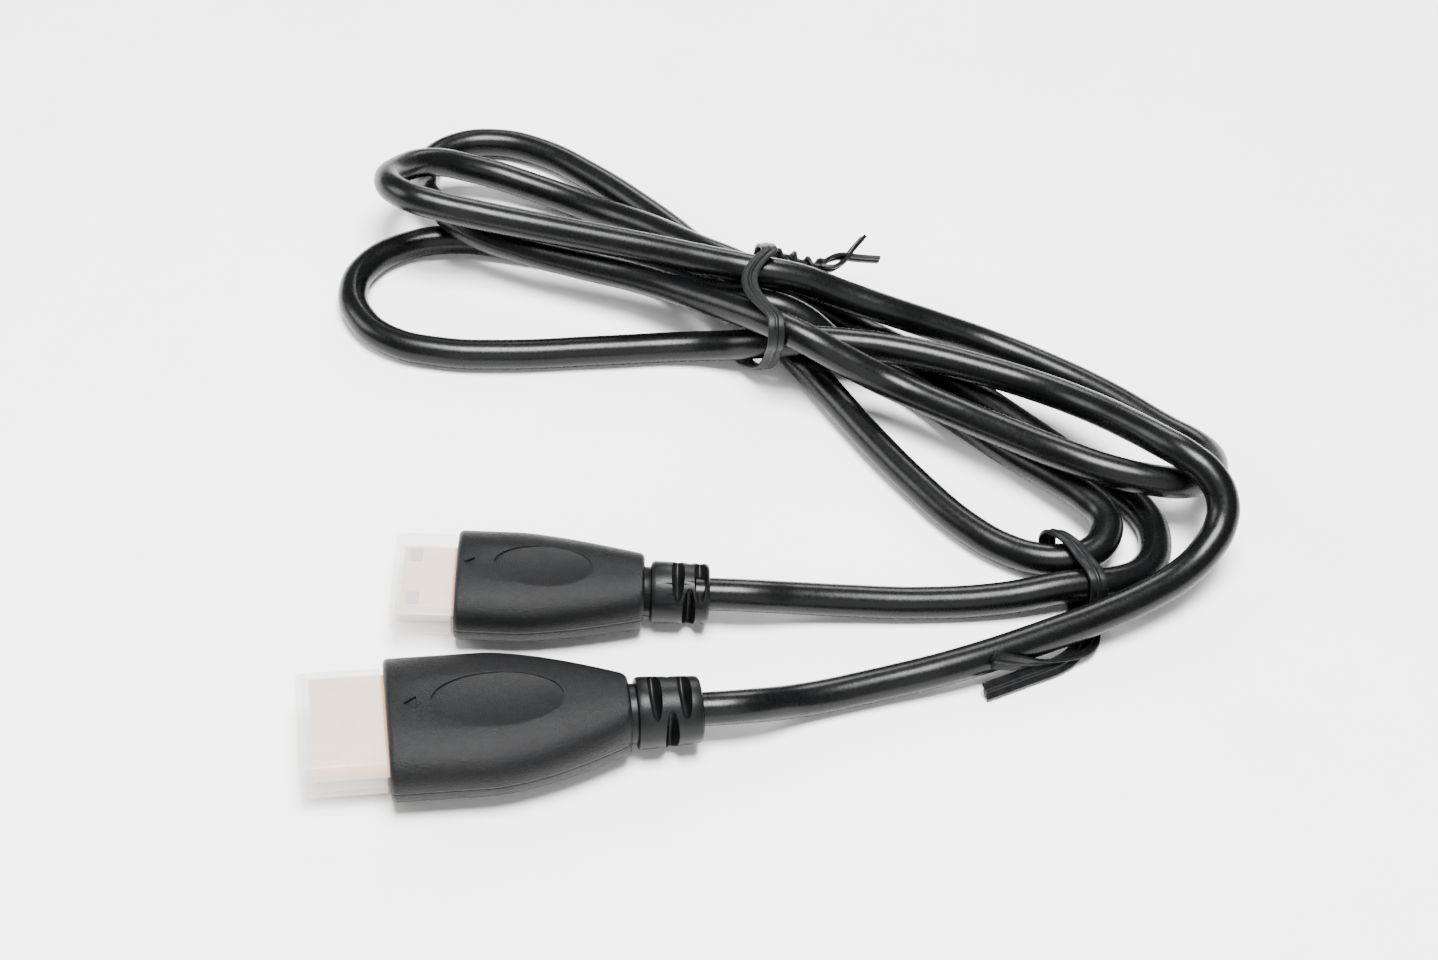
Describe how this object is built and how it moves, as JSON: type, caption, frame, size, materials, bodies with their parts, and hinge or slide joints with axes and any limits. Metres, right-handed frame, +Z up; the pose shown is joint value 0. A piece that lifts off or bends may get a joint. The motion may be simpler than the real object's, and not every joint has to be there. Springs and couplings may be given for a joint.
{
  "type": "audio and video cable",
  "caption": "Slim round cable folded into a tied hank, with a large plug on one end, a mini plug on the other and a clear dust cap on each plug.",
  "frame": {"origin": "on the floor, under the middle of the box round the two plugs and their caps", "axes": "+X from the plugs' noses towards their cable ends and on to the hank's right-hand loops, +Y from the large plug to the mini plug, +Z up off the floor"},
  "size_m": [0.1238, 0.1305, 0.0159],
  "materials": {
    "housing": "fine matte texture",
    "gilded_shell": "bright gold plating",
    "insert": "matte",
    "strain_relief": "satin",
    "cap": "milky, see-through",
    "jacket": "semi-gloss",
    "tie": "satin"
  },
  "bodies": {
    "cable_set": {"large_plug_housing": "housing", "large_plug_shell": "gilded_shell", "large_plug_insert": "insert", "large_plug_strain_relief": "strain_relief", "mini_plug_housing": "housing", "mini_plug_shell": "gilded_shell", "mini_plug_insert": "insert", "mini_plug_strain_relief": "strain_relief", "cable": "jacket", "upper_twist_tie": "tie", "lower_twist_tie": "tie"},
    "large_cap": {"large_plug_cap": "cap"},
    "mini_cap": {"mini_plug_cap": "cap"}
  },
  "joints": [
    {"name": "large_cap_slide", "type": "slide", "parent": "cable_set", "child": "large_cap", "axis": [-0.9965, -0.0837, 0], "range_m": [0, 0.02]},
    {"name": "mini_cap_slide", "type": "slide", "parent": "cable_set", "child": "mini_cap", "axis": [-0.9986, 0.0523, 0], "range_m": [0, 0.02]}
  ]
}
